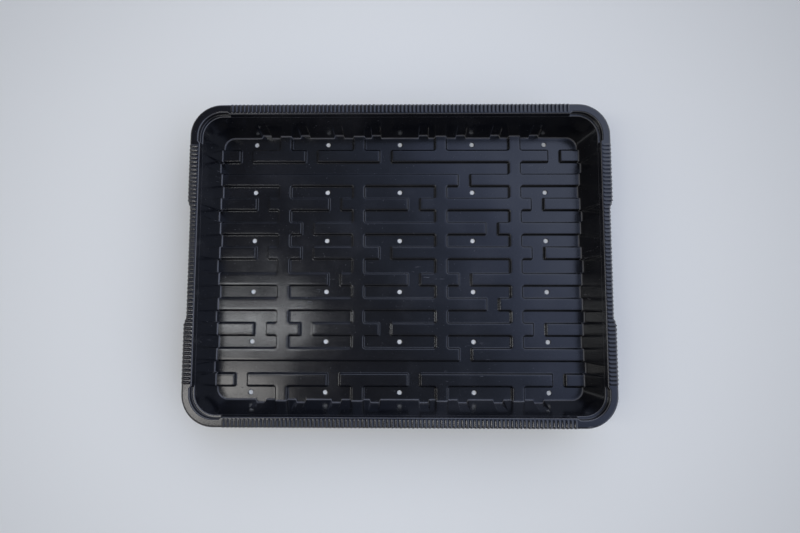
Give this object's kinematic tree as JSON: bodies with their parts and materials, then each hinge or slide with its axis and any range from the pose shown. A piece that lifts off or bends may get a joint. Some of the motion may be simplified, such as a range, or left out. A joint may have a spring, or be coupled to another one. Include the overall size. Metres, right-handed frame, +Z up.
{
  "type": "nursery tray",
  "caption": "Shallow rectangular nursery tray with drafted fluted walls, a ribbed rim, stacking shoulders and a two-level drained floor.",
  "frame": {"origin": "underside of the floor, in the middle of the tray", "axes": "+X along the tray's length, +Y to its back long side, +Z up out of the tray"},
  "size_m": [0.5318, 0.4038, 0.0609],
  "materials": {
    "tray_plastic": "black moulded sheet, semi-gloss"
  },
  "bodies": {
    "root": {"floor_panel": "tray_plastic", "front_wall": "tray_plastic", "back_wall": "tray_plastic", "left_wall": "tray_plastic", "right_wall": "tray_plastic", "front_left_wall": "tray_plastic", "front_right_wall": "tray_plastic", "back_left_wall": "tray_plastic", "back_right_wall": "tray_plastic", "front_rim": "tray_plastic", "back_rim": "tray_plastic", "left_rim": "tray_plastic", "right_rim": "tray_plastic", "front_left_rim": "tray_plastic", "front_right_rim": "tray_plastic", "back_left_rim": "tray_plastic", "back_right_rim": "tray_plastic"}
  },
  "joints": []
}
